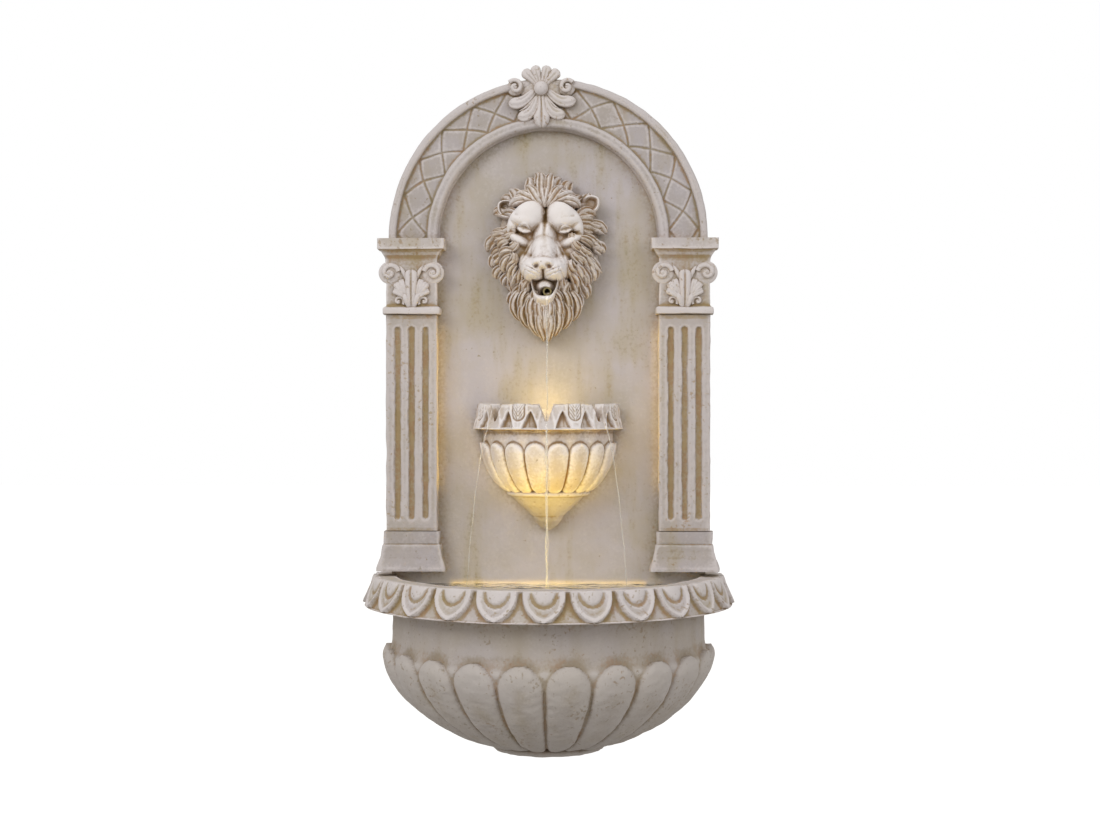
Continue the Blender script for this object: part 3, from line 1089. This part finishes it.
# dirt, across, up, half width and half height of the brown patches; mirrored where across is over 2
FACE_PATCHES = ((0.6, 0.0, 30.0, 3.5, 22.0), (0.5, 14.0, 14.0, 4.5, 7.0), (0.75, 23.0, -8.0, 8.0, 9.0),
                (0.55, 31.0, 17.0, 9.0, 3.5), (1.0, 2.0, -60.0, 13.0, 5.0), (0.5, 20.0, -42.0, 8.0, 10.0),
                (0.35, 38.0, 4.0, 7.0, 16.0), (0.4, 0.0, 9.0, 8.0, 5.0))


def reach_at(angle, outline):
    """Distance from the face's middle to the outline at an angle from upright, read between its marks."""
    marks = np.array(outline, float) - (0, FACE_MIDDLE)
    angles = np.arctan2(marks[:, 0], marks[:, 1])
    return np.interp(np.abs(half_turn(angle)), angles, np.hypot(marks[:, 0], marks[:, 1]))


def polar_skin(outline, rows, columns, rise, soak, **kwargs):
    """Rings from the outline to the middle; rise(x, z, share) is the height there, soak(x, z) the dirt."""
    share = np.linspace(1, 0.004, rows)[:, None]
    angle = ring_angles(columns)
    reach = reach_at(angle, outline) * share
    x, z = reach * np.sin(angle), FACE_MIDDLE + reach * np.cos(angle)
    height = rise(x, z, share)
    turned_x = x * math.cos(FACE_TILT) + z * math.sin(FACE_TILT) - height * FACE_TURN
    turned_z = z * math.cos(FACE_TILT) - x * math.sin(FACE_TILT)
    points = np.stack((FACE_X + turned_x, -PANEL_FRONT - height, FACE_Z + turned_z), -1)
    return Skin(points, soak=soak(x, z), **kwargs)


def face_rise(x, z, share):
    """The face's height, brought down to the niche over the outermost rings."""
    return face_height(x, z) * smooth_step(1 - share, -0.02, 0.035)


def face_soak(x, z):
    """Clean on the high forms; brown between the brows, beside nose and eyes, and on the wet lower lip."""
    dirt = np.full_like(x, CLEAN)
    for amount, across, up, half_width, half_height in FACE_PATCHES:
        for hand in sides(across):
            dirt = dirt + amount * np.exp(-distance(x, z, hand, across, up, half_width, half_height, 0))
    return dirt


face = polar_skin(FACE_OUTLINE, FACE_ROWS, FACE_COLUMNS, face_rise, face_soak, uneven=0.12, seed=90)
print("the face rises", round(float(-face.points[..., 1].min() - PANEL_FRONT), 1), "mm over the niche")

# %% [markdown]
# ## The lion mask: the mane
# The mane is laid lock by lock, as a carver cuts it, in four layers: the lowest has long flames that reach
# the mask's outline, and each one above it is shorter and stands higher, up to the one that frames the face.
# A lock is a petal with a few ridges, widest in its middle and pointed at its end; its path leaves the face,
# sinks with its weight and curls at the tip. Dice with a fixed seed vary every lock: no two are cut alike.

# %% Locks of the mane
MANE_OUTLINE = ((0, 84), (42, 74), (56, 54), (66, 30), (71, 0), (71, -25), (63, -39), (50, -57), (37, -75),
                (22, -91), (9, -103), (0, -105))
BED_LOW, BED_RISE = 4, 36
# For the four places of a path: how the wave bends it there, how far on the next lies, and its lift
BENDS, STEPS, LIFTS = (0.7, 0.1, -1.0, 0.0), (0.36, 0.36, 0.28, 0.0), (1.0, 1.35, 0.9, 0.25)
# count, root, length, width, height, lift, first angle
LAYERS = ((29, 0.72, 0.30, 15.5, 9.0, 2.0, 0.11), (27, 0.64, 0.28, 13.5, 9.5, 6.0, 0.0),
          (24, 0.56, 0.25, 12.5, 9.0, 9.5, 0.12), (20, 0.49, 0.2, 11.0, 8.0, 12.0, 0.0))
SAME_CURL = 0.72
CHEEK_ANGLE = 1.95


def mane_bed(share):
    """Height of the hair's bed at a share of the outline's reach: high at the face, low at the outline."""
    return BED_RISE * (1 - np.clip(share, 0, 1) ** 2.4) + BED_LOW


def mane_reach(angle):
    """Distance from the face's middle to the mane's outline, as one number."""
    return float(reach_at(angle, MANE_OUTLINE))


def lock_path(angle, root, length, wave, lift, stray):
    """Four points from the face outwards: the way turns with the wave, sinks, and curls back at the tip."""
    place = np.array((math.sin(angle), math.cos(angle))) * root * mane_reach(angle) + (0, FACE_MIDDLE)
    inwards = 1 + 1.1 * min(math.cos(angle), 0)
    sinking = 1.15 * abs(math.sin(angle)) ** 1.5
    heading = math.atan2(math.sin(angle) * inwards, math.cos(angle) - sinking) + stray
    path = []
    for bend, step, lifted in zip(BENDS, STEPS, LIFTS):
        offset = place - (0, FACE_MIDDLE)
        rise = mane_bed(math.hypot(*offset) / mane_reach(math.atan2(*offset))) + lift * lifted
        path.append((FACE_X + place[0] - rise * FACE_TURN, -PANEL_FRONT - rise, FACE_Z + place[1]))
        way = heading + wave * bend
        place = place + np.array((math.sin(way), math.cos(way))) * length * step
    return path


dice = np.random.default_rng(14)
locks = []
for layer, (count, root, length, width, height, lift, first) in enumerate(LAYERS):
    for index in range(count):
        angle = first + FULL_TURN * (index + dice.uniform(-0.3, 0.3)) / count
        outwards = 1 if math.sin(angle) >= 0 else -1
        wave = -outwards * (1 if dice.uniform() < SAME_CURL else -1) * dice.uniform(0.5, 1.25)
        beside_cheek = math.exp(-((abs(half_turn(angle)) - CHEEK_ANGLE) / 0.4) ** 2)
        path = lock_path(angle, root + dice.uniform(-0.04, 0.03) - 0.06 * beside_cheek,
                         mane_reach(angle) * length * dice.uniform(0.85, 1.25), wave,
                         lift + dice.uniform(-1.5, 2.0), dice.uniform(-0.3, 0.3))
        facing = (0.4 * math.sin(angle), -1, 0.4 * math.cos(angle))
        locks.append(petal(path, width * dice.uniform(0.8, 1.2), height * dice.uniform(0.85, 1.2), facing,
                           shape=LOCK, count=20, columns=17, ridges=2, ridge_depth=0.42,
                           sway=dice.uniform(-0.25, 0.25), seed=100 + layer * 40 + index, uneven=0.08,
                           soak=0.62 + 0.08 * layer))
print(len(locks), "locks in the mane")

# %% [markdown]
# A few locks break the rings' order: a tuft that parts over the forehead, and the beard, whose long pointed
# strands gather under the chin. The ears stand in the mane, cupped, with a round rim and a dark hollow.

# %% Tuft, beard and ears
def placed(points):
    """Points given as (across, up, rise over the niche) from the face's middle, as drawing millimetres."""
    return [(FACE_X + across - rise * FACE_TURN, -PANEL_FRONT - rise, FACE_Z + up)
            for across, up, rise in points]


TUFT = (
    ((1, 47, 44), (2, 57, 53), (5, 64, 42), (3, 74, 26)),
    ((5, 49, 46), (12, 57, 53), (13, 65, 42), (21, 69, 28)),
    ((9, 52, 44), (19, 55, 50), (25, 62, 40), (32, 59, 28)),
    ((19, 53, 42), (28, 54, 46), (35, 53, 38), (38, 45, 28)),
    ((3, 60, 38), (6, 71, 40), (2, 80, 24), (7, 86, 8)),
)
BEARD = (
    ((5, -74, 38), (9, -84, 38), (3, -96, 24), (3, -107, 6)),
    ((13, -70, 36), (19, -80, 36), (13, -92, 22), (9, -101, 6)),
    ((21, -62, 36), (30, -70, 34), (27, -83, 20), (19, -93, 6)),
    ((29, -50, 36), (39, -60, 34), (39, -73, 20), (29, -84, 6)),
    ((3, -60, 44), (9, -69, 46), (2, -78, 38), (4, -87, 28)),
    ((12, -57, 42), (19, -65, 44), (15, -76, 34), (17, -84, 24)),
    ((20, -49, 40), (28, -56, 41), (26, -68, 32), (29, -75, 22)),
    ((0, -66, 40), (-5, -78, 42), (4, -88, 34), (-1, -97, 20)),
)


EAR_RADIUS, EAR_TIP, EAR_LEAN = 10.4, 1.6, math.radians(52)
EAR_WALL, EAR_HOLLOW, EAR_FOOT = 10.5, 8.5, 20.0


def ear(hand, across, up, seed):
    """A cup on rings of its own: a wall with a hollow in it, low towards the head, leaned outwards."""
    share = np.linspace(1, 0.02, 30)[:, None]
    angle = ring_angles(64)
    reach = (EAR_RADIUS + EAR_TIP * bell(half_turn(angle) / 0.5)) * share
    x, z = reach * np.sin(angle), reach * np.cos(angle)
    wall = EAR_WALL * smooth_step(1 - share, -0.05, 0.12) - EAR_HOLLOW * smooth_step(0.82 - share, 0.0, 0.35)
    rise = wall * (1 - 0.75 * smooth_step(-z, -1, 8)) + EAR_FOOT + x * hand * -0.2
    c, s = math.cos(EAR_LEAN * hand), math.sin(EAR_LEAN * hand)
    points = np.stack((FACE_X + across + x * c + z * s, -PANEL_FRONT - rise, FACE_Z + up + z * c - x * s), -1)
    return Skin(points, seed=seed, uneven=0.1, soak=-0.05)


for hand in (-1, 1):
    for index, strand in enumerate(TUFT + BEARD):
        mirrored = [(hand * across, up, rise) for across, up, rise in strand]
        facing = (0, -1, 0.45 if index < len(TUFT) else -0.3)
        locks.append(petal(placed(mirrored), 12.5, 9, facing, shape=LOCK, count=22, columns=17, ridges=2,
                           ridge_depth=0.42, sway=0.12 * hand, seed=240 + index, uneven=0.08, soak=0.6))
ears = [ear(-1, -46.5, 46, 270), ear(1, 51, 51, 271)]


def bed_rise(x, z, share):
    """The hair's bed, a little under the roots of the locks, down to the niche at its edge."""
    return (mane_bed(share * 0.97) - 2) * smooth_step(1 - share, -0.02, 0.03) + 0 * x


def bed_soak(x, z):
    """The bed is brown all over, for the brush that whitens the locks never reaches it."""
    return np.full_like(x, 0.9)


bed_outline = [(across * 0.84, FACE_MIDDLE + (up - FACE_MIDDLE) * 0.89) for across, up in MANE_OUTLINE]
bed = polar_skin(bed_outline, 30, 120, bed_rise, bed_soak, seed=280)
make_piece("lion_casting", [face, bed] + locks + ears, mask_stone, ["lion_mask"])

# %% [markdown]
# ## The pendant under the upper bowl
# A ring, a cone in steps and a round tip end the bowl below. It is turned, so it reuses the bowl's D rings.

# %% The pendant
def plain(angle, radius, height):
    """No carving: zero everywhere."""
    return 0 * (angle + radius + height)


pendant_line = profile([(0.3, 257.0), (5, 258.4), (11, 263.4), (16.2, 269.4), (18.8, 274.6), (20.6, 275.6),
                        (22.4, 277.5), (32, 287.0), (34, 288.4), (42.0, 296.6), (43.0, 298), (47.0, 298.4),
                        (48.6, 299.8), (48.9, 302.5), (46, 304.4), (0.3, 304.5)], 0.9)
pendant = bowl_skin(pendant_line, plain, BOWL_AXIS, NICHE_GAP, arc=150, backs=8, seed=15, uneven=0.25)
make_piece("pendant_casting", [pendant], stone, ["upper_bowl_pendant"])

# %% [markdown]
# ## Water
# Water fills the basin to 11 mm under the rim's top and the bowl to just under the foot of its notches. It
# falls as thin threads: one from the lion's mouth, two at the front notch and one at each side. A falling
# thread speeds up and gets thinner, so its path is a parabola, out by v t and down by g t^2 / 2, and its
# radius shrinks with the fourth root of the fall. Drops gather on it: the radius also beads a little.

# %% Water's finish
WATER_IOR = 1.333
RIPPLE = 0.016
water, water_tree, water_shader = new_material("clear_water")
ripples = bump(water_tree, noise(water_tree, object_place(water_tree), RIPPLE, 2.0), 0.8, 0.003)
fill(water_tree, water_shader, {"Base Color": linear("#F4F7F2"), "Roughness": 0.03, "IOR": WATER_IOR,
                                "Transmission Weight": 1.0, "Normal": ripples})

# A falling thread is torn into beads and bubbles, so a part of it scatters light and looks white
falling_water, falling_tree, falling_shader = new_material("falling_water")
fill(falling_tree, falling_shader, {"Base Color": linear("#FBFBF8"), "Roughness": 0.12, "IOR": WATER_IOR,
                                    "Transmission Weight": 0.85})

# %% Pools and threads
GRAVITY = 9810.0
RIPPLE_HEIGHT, RIPPLE_LENGTH, RIPPLE_FADE = 0.7, 3.2, 40


def make_water(name, skins, material):
    """A piece of water, through which light falls without a shadow."""
    piece = make_piece(name, skins, material)
    piece.visible_shadow = False


def pool(name, radius, axis, level, depth, source):
    """A D-shaped slab with rings round the source: 0.7 mm x sin(distance / 3.2) / (1 + distance / 40)."""
    share = np.linspace(0.01, 1, 40)
    top = np.stack((share[::-1] * radius, np.full(40, level)), 1)
    line = np.concatenate((((0.3, level - depth), (radius, level - depth)), top))

    def rings(angle, r, z):
        """Ripples on the slab's top only, and none at its very edge."""
        away = np.hypot(r * np.sin(angle), axis + r * np.cos(angle) - source)
        height = RIPPLE_HEIGHT * np.sin(away / RIPPLE_LENGTH) / (1 + away / RIPPLE_FADE)
        return height * (z > level - 0.1) * (r < radius - 1)

    make_water(name, [bowl_skin(line, rings, axis, NICHE_GAP + 0.2, arc=160, backs=30, uneven=0.0)], water)


def thread(start, speed, fall, radius, seed):
    """Parabola from start: out by speed x t, down by g t^2 / 2; radius x (1 + fall / 20)^-0.25 with beads."""
    t = np.linspace(0, 1, 90)[:, None] * math.sqrt(2 * fall / GRAVITY)
    down = GRAVITY * t ** 2 / 2
    line = np.asarray(start, float) + np.concatenate((speed[0] * t, speed[1] * t, -down), 1)
    sway = np.stack((np.sin(down[:, 0] / 9 + seed), np.cos(down[:, 0] / 11 + seed)), 1)
    line[:, :2] += 0.5 * sway * (down / fall)
    beads = 1 + 0.35 * np.sin(down / 5.3 + seed * 2) * np.sin(down / 13.1 + seed)
    thick = radius * (1 + down / 20) ** -0.25 * beads
    turn = ring_angles(10)
    x, y, z = line[:, 0:1], line[:, 1:2], line[:, 2:3]
    return Skin(np.stack((x + thick * np.cos(turn), y + thick * np.sin(turn), z + 0 * turn), -1), uneven=0.0)


pool("basin_water", 175.9, BASIN_AXIS, 193.4, 4.0, 118.0)
pool("bowl_water", 69.7, BOWL_AXIS, 382.5, 3.0, 78.0)
threads = [thread((0, -92, 529), (0, -60), 145, 0.9, 1), thread((0, -124, 384), (0, -55), 190, 1.15, 2),
           thread((0, -124.5, 384), (10, -40), 190, 0.6, 5)]
for hand in (-1, 1):
    threads.append(thread((hand * 62, -98, 384), (hand * 150, -50), 190, 0.6, 3 + hand))
make_water("water_threads", threads, falling_water)

# %% [markdown]
# ## The fittings
# Behind the stone sit ordinary fittings: zinc-plated screws and hanger plates, a fibre board, black plastic
# and rubber, a clear tube. Their shapes come from the CAD, so only a finish is missing. Each finish is a
# colour that a slow noise shades a little, because no moulded or plated face is quite even, and a fine bump.

# %% A finish for fittings
FITTING_BUMP_DEPTH = 0.0004
FINE_GRAIN = 0.0008


def give(material, *nodes):
    """Puts one material on CAD nodes, whose shapes and places stay as they are."""
    for node in nodes:
        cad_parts[node].data.materials.clear()
        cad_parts[node].data.materials.append(material)


def finish_fittings(nodes, name, colour, shade, patch, roughness, grain=0.0, grain_size=FINE_GRAIN,
                    stretch=(1.0, 1.0, 1.0), **shader_inputs):
    """Gives CAD nodes a colour and a shade in patches that many metres wide, and a bump of fine grain."""
    material, tree, shader = new_material(name)
    place = object_place(tree, stretch)
    tints = ramp(tree, noise(tree, place, patch, 4.0), (0.35, colour), (0.65, shade))
    fill(tree, shader, {"Base Color": tints, "Roughness": roughness})
    if grain:
        grains = noise(tree, place, grain_size, 2.0)
        fill(tree, shader, {"Normal": bump(tree, grains, grain, FITTING_BUMP_DEPTH)})
    fill(tree, shader, {socket.replace("_", " "): value for socket, value in shader_inputs.items()})
    give(material, *nodes)


# %% Stone, steel, board and wood
give(niche_stone, "back_panel")

# Zinc plate: bright grey metal with cloudy crystals
finish_fittings(("board_screws", "hanger_plates", "hanger_screws"), "zinc_plated_steel", "#A9ADB0", "#8F9498",
                0.006, 0.38, grain=0.15, Metallic=1.0)

# Fibre-cement board: flat grey with pale fibres
finish_fittings(("back_board",), "fibre_cement_board", "#8F8B84", "#A19D94", 0.018, 0.92, grain=0.5)

# Beech dowels: reddish tan, the grain runs along each dowel
finish_fittings(("panel_dowels",), "beech_wood", "#B98F62", "#A1764A", 0.0016, 0.7, grain=0.3,
                stretch=(1.0, 1.0, 0.1))

# %% Plastic, rubber, ceramic and foam
# Black moulded plastic with a fine spark-eroded grain
finish_fittings(("pump_housing", "outlet_nozzle", "chamber_cap", "intake_cover", "upper_lamp_housing",
                 "lower_lamp_housing"), "black_moulded_plastic", "#1F2022", "#27282B", 0.02, 0.45, grain=0.35)

# Grey plastic for the part that a finger turns
finish_fittings(("flow_dial",), "grey_moulded_plastic", "#666B6E", "#5B6063", 0.015, 0.5, grain=0.3)

# Tan plastic of the nozzle in the mouth, olive where water and lime have dried on it
finish_fittings(("mouth_spout",), "stained_tan_plastic", "#8C7C4C", "#6F6238", 0.008, 0.55, grain=0.3)

# Natural nylon: milky white
finish_fittings(("tube_clips", "impeller"), "natural_nylon", "#DAD7CC", "#CFCBBE", 0.012, 0.42)

# Black rubber: matt, with a little bloom
finish_fittings(("cable_grommet", "suction_feet", "shaft_bush", "upper_lamp_seal", "lower_lamp_seal"),
                "black_rubber", "#262524", "#35332F", 0.008, 0.78, grain=0.2)

# Ceramic shaft: fired white, polished
finish_fittings(("impeller_shaft",), "polished_ceramic", "#E8E5DD", "#DEDAD0", 0.01, 0.18)

# Open-cell filter foam: charcoal, deep pores
finish_fittings(("strainer_foam",), "filter_foam", "#2C2F31", "#43474A", 0.0012, 0.95, grain=1.0,
                grain_size=0.0012)

# Clear vinyl hose: slightly milky, seen through
finish_fittings(("riser_tube",), "clear_vinyl_hose", "#E3E8E0", "#D9E0D6", 0.02, 0.22,
                Transmission_Weight=0.85, IOR=1.52)

# White solder mask on the diode boards
finish_fittings(("upper_lamp_board", "lower_lamp_board"), "white_solder_mask", "#E6E4DA", "#DBD8CC", 0.006,
                0.35)

# %% [markdown]
# ## The lamps' light
# Each lamp is a round housing with diodes under a clear lens. The upper one stands in the bowl and washes
# the niche; the lower one stands in the basin and lights the bowl from below. Their light is a deep warm
# yellow. The lenses glow by themselves, and real spots of light start above each pool, because a path
# through water is slow to find and noisy. The bright water itself lights what stands beside it: two more
# spots at the basin's sides, a strip up each jamb of the niche and a thin one along the water's back edge.

# %% Lit lenses, warm spots and strips
LENS_LIGHT = 4.0
SPOT_BLEND = 0.8
SPOT_COLOUR, UPPER_COLOUR, STRIP_COLOUR = "#FFDB55", "#FFE28C", "#FFD766"
finish_fittings(("upper_lamp_lens", "lower_lamp_lens"), "lit_clear_lens", "#FFE9B8", "#FFE2A0", 0.01, 0.25,
                Emission_Color=linear("#FFC95A"), Emission_Strength=LENS_LIGHT)


def put_in_place(thing, place, target):
    """Adds a lamp or camera to the scene at a place in metres, turned towards its target."""
    holder = bpy.data.objects.new(thing.name, thing)
    bpy.context.scene.collection.objects.link(holder)
    start, end = mathutils.Vector(place), mathutils.Vector(target)
    holder.location = start
    holder.rotation_euler = (end - start).to_track_quat("-Z", "Y").to_euler()
    return holder


def add_spot(name, place, target, power, spread, size, colour=SPOT_COLOUR):
    """A round spot lamp from a place to a target in drawing millimetres; its size is in metres."""
    lamp = bpy.data.lights.new(name, "SPOT")
    lamp.energy, lamp.color = power, linear(colour)[:3]
    lamp.spot_size, lamp.spot_blend, lamp.shadow_soft_size = math.radians(spread), SPOT_BLEND, size
    put_in_place(lamp, to_frame(place), to_frame(target))


def add_strip(name, place, target, width, length, power, spread):
    """A long thin lamp, sized in millimetres: the light that bright water throws on the stone beside it."""
    lamp = bpy.data.lights.new(name, "AREA")
    lamp.shape = "RECTANGLE"
    lamp.size, lamp.size_y = width * METRE, length * METRE
    lamp.energy, lamp.spread, lamp.color = power, math.radians(spread), linear(STRIP_COLOUR)[:3]
    put_in_place(lamp, to_frame(place), to_frame(target))


add_spot("upper_lamp_glow", (0, -72, 386), (0, -34, 450), 0.17, 150, 0.02, UPPER_COLOUR)
add_spot("lower_lamp_glow", (0, -170, 198), (0, -90, 320), 0.66, 76, 0.03)
for hand, side_name in HANDS:
    add_spot(f"{side_name}_lower_glow", (hand * 70, -140, 214), (hand * 44, -88, 330), 0.22, 64, 0.03)
add_spot("pool_glow", (0, -140, 200), (0, -34, 208), 0.09, 150, 0.03)
add_spot("sunken_glow", (0, -140, 120), (0, -10, 110), 2.4, 76, 0.02)
for hand, side_name in HANDS:
    add_strip(f"{side_name}_jamb_glow", (hand * 112, -50, 400), (hand * 138, -44, 400), 5, 190, 0.01, 110)
add_strip("water_line_glow", (0, -38, 194.2), (0, -34, 194.4), 230, 0.8, 0.0028, 120)

# %% [markdown]
# ## Floor, light and camera
# The fountain hangs in front of a white ground. A pale floor lies under it, and the world is white to the
# camera and to glossy rays but gives the object only a plain soft light. Two wide lamps stand to the left and
# right of the camera and above it, the left one brighter, and shape the carving. The camera stands 2.15 m
# before the wall at half the fountain's height, 50 mm to its right, with a lens of 59 mm.

# %% Floor and backdrop
def seen_directly(tree):
    """One for camera, glossy and transmission rays, which shall meet plain white, and zero for the rest."""
    rays = add_node(tree, "ShaderNodeLightPath").outputs
    seen = maths(tree, "MAXIMUM", rays["Is Camera Ray"], rays["Is Glossy Ray"])
    return maths(tree, "MAXIMUM", seen, rays["Is Transmission Ray"])


WHITE = linear("#FFFFFF")
SOFT_LIGHT, WHITE_GROUND, FLOOR_GLOW = 0.6, 1.0, 0.80
world = bpy.data.worlds.new("studio")
bpy.context.scene.world = world
world.use_nodes = True
world_tree = world.node_tree
world_tree.nodes.clear()
soft = add_node(world_tree, "ShaderNodeBackground", {"Color": WHITE, "Strength": SOFT_LIGHT}).outputs[0]
white = add_node(world_tree, "ShaderNodeBackground", {"Color": WHITE, "Strength": WHITE_GROUND}).outputs[0]
chosen = add_node(world_tree, "ShaderNodeMixShader", {0: seen_directly(world_tree), 1: soft, 2: white})
add_node(world_tree, "ShaderNodeOutputWorld", {"Surface": chosen.outputs[0]})

FLOOR_HEIGHT, FLOOR_SIDE, FLOOR_FRONT, FLOOR_BACK = -0.70, 4.0, -4.0, 8.0
floor_mesh = bpy.data.meshes.new("floor")
floor_mesh.from_pydata([(-FLOOR_SIDE, FLOOR_FRONT, FLOOR_HEIGHT), (FLOOR_SIDE, FLOOR_FRONT, FLOOR_HEIGHT),
                        (FLOOR_SIDE, FLOOR_BACK, FLOOR_HEIGHT), (-FLOOR_SIDE, FLOOR_BACK, FLOOR_HEIGHT)],
                       [], [(0, 1, 2, 3)])
floor = bpy.data.objects.new("floor", floor_mesh)
bpy.context.scene.collection.objects.link(floor)
floor_paint, floor_tree, floor_shader = new_material("pale_floor")
floor_light = maths(floor_tree, "MULTIPLY", seen_directly(floor_tree), FLOOR_GLOW)
fill(floor_tree, floor_shader, {"Base Color": linear("#B9B7B3"), "Roughness": 0.9, "Specular IOR Level": 0.0,
                                "Emission Color": WHITE, "Emission Strength": floor_light})
floor_mesh.materials.append(floor_paint)

# %% Softboxes and camera
# name, place and target in metres, width and power
SOFTBOXES = (("left_softbox", (-1.3, -2.0, 0.95), (0, 0, -0.1), 1.2, 21),
             ("right_softbox", (1.6, -1.9, 0.6), (0, 0, -0.2), 1.4, 10))
for name, place, target, width, power in SOFTBOXES:
    softbox = bpy.data.lights.new(name, "AREA")
    softbox.size, softbox.energy = width, power
    put_in_place(softbox, place, target)

lens = bpy.data.cameras.new("photograph")
lens.lens, lens.sensor_width = 58.9, 36.0
bpy.context.scene.camera = put_in_place(lens, to_frame((50, -2150, 405)), to_frame((1.2, 0, 395.4)))
bpy.context.scene.view_settings.view_transform = "Standard"
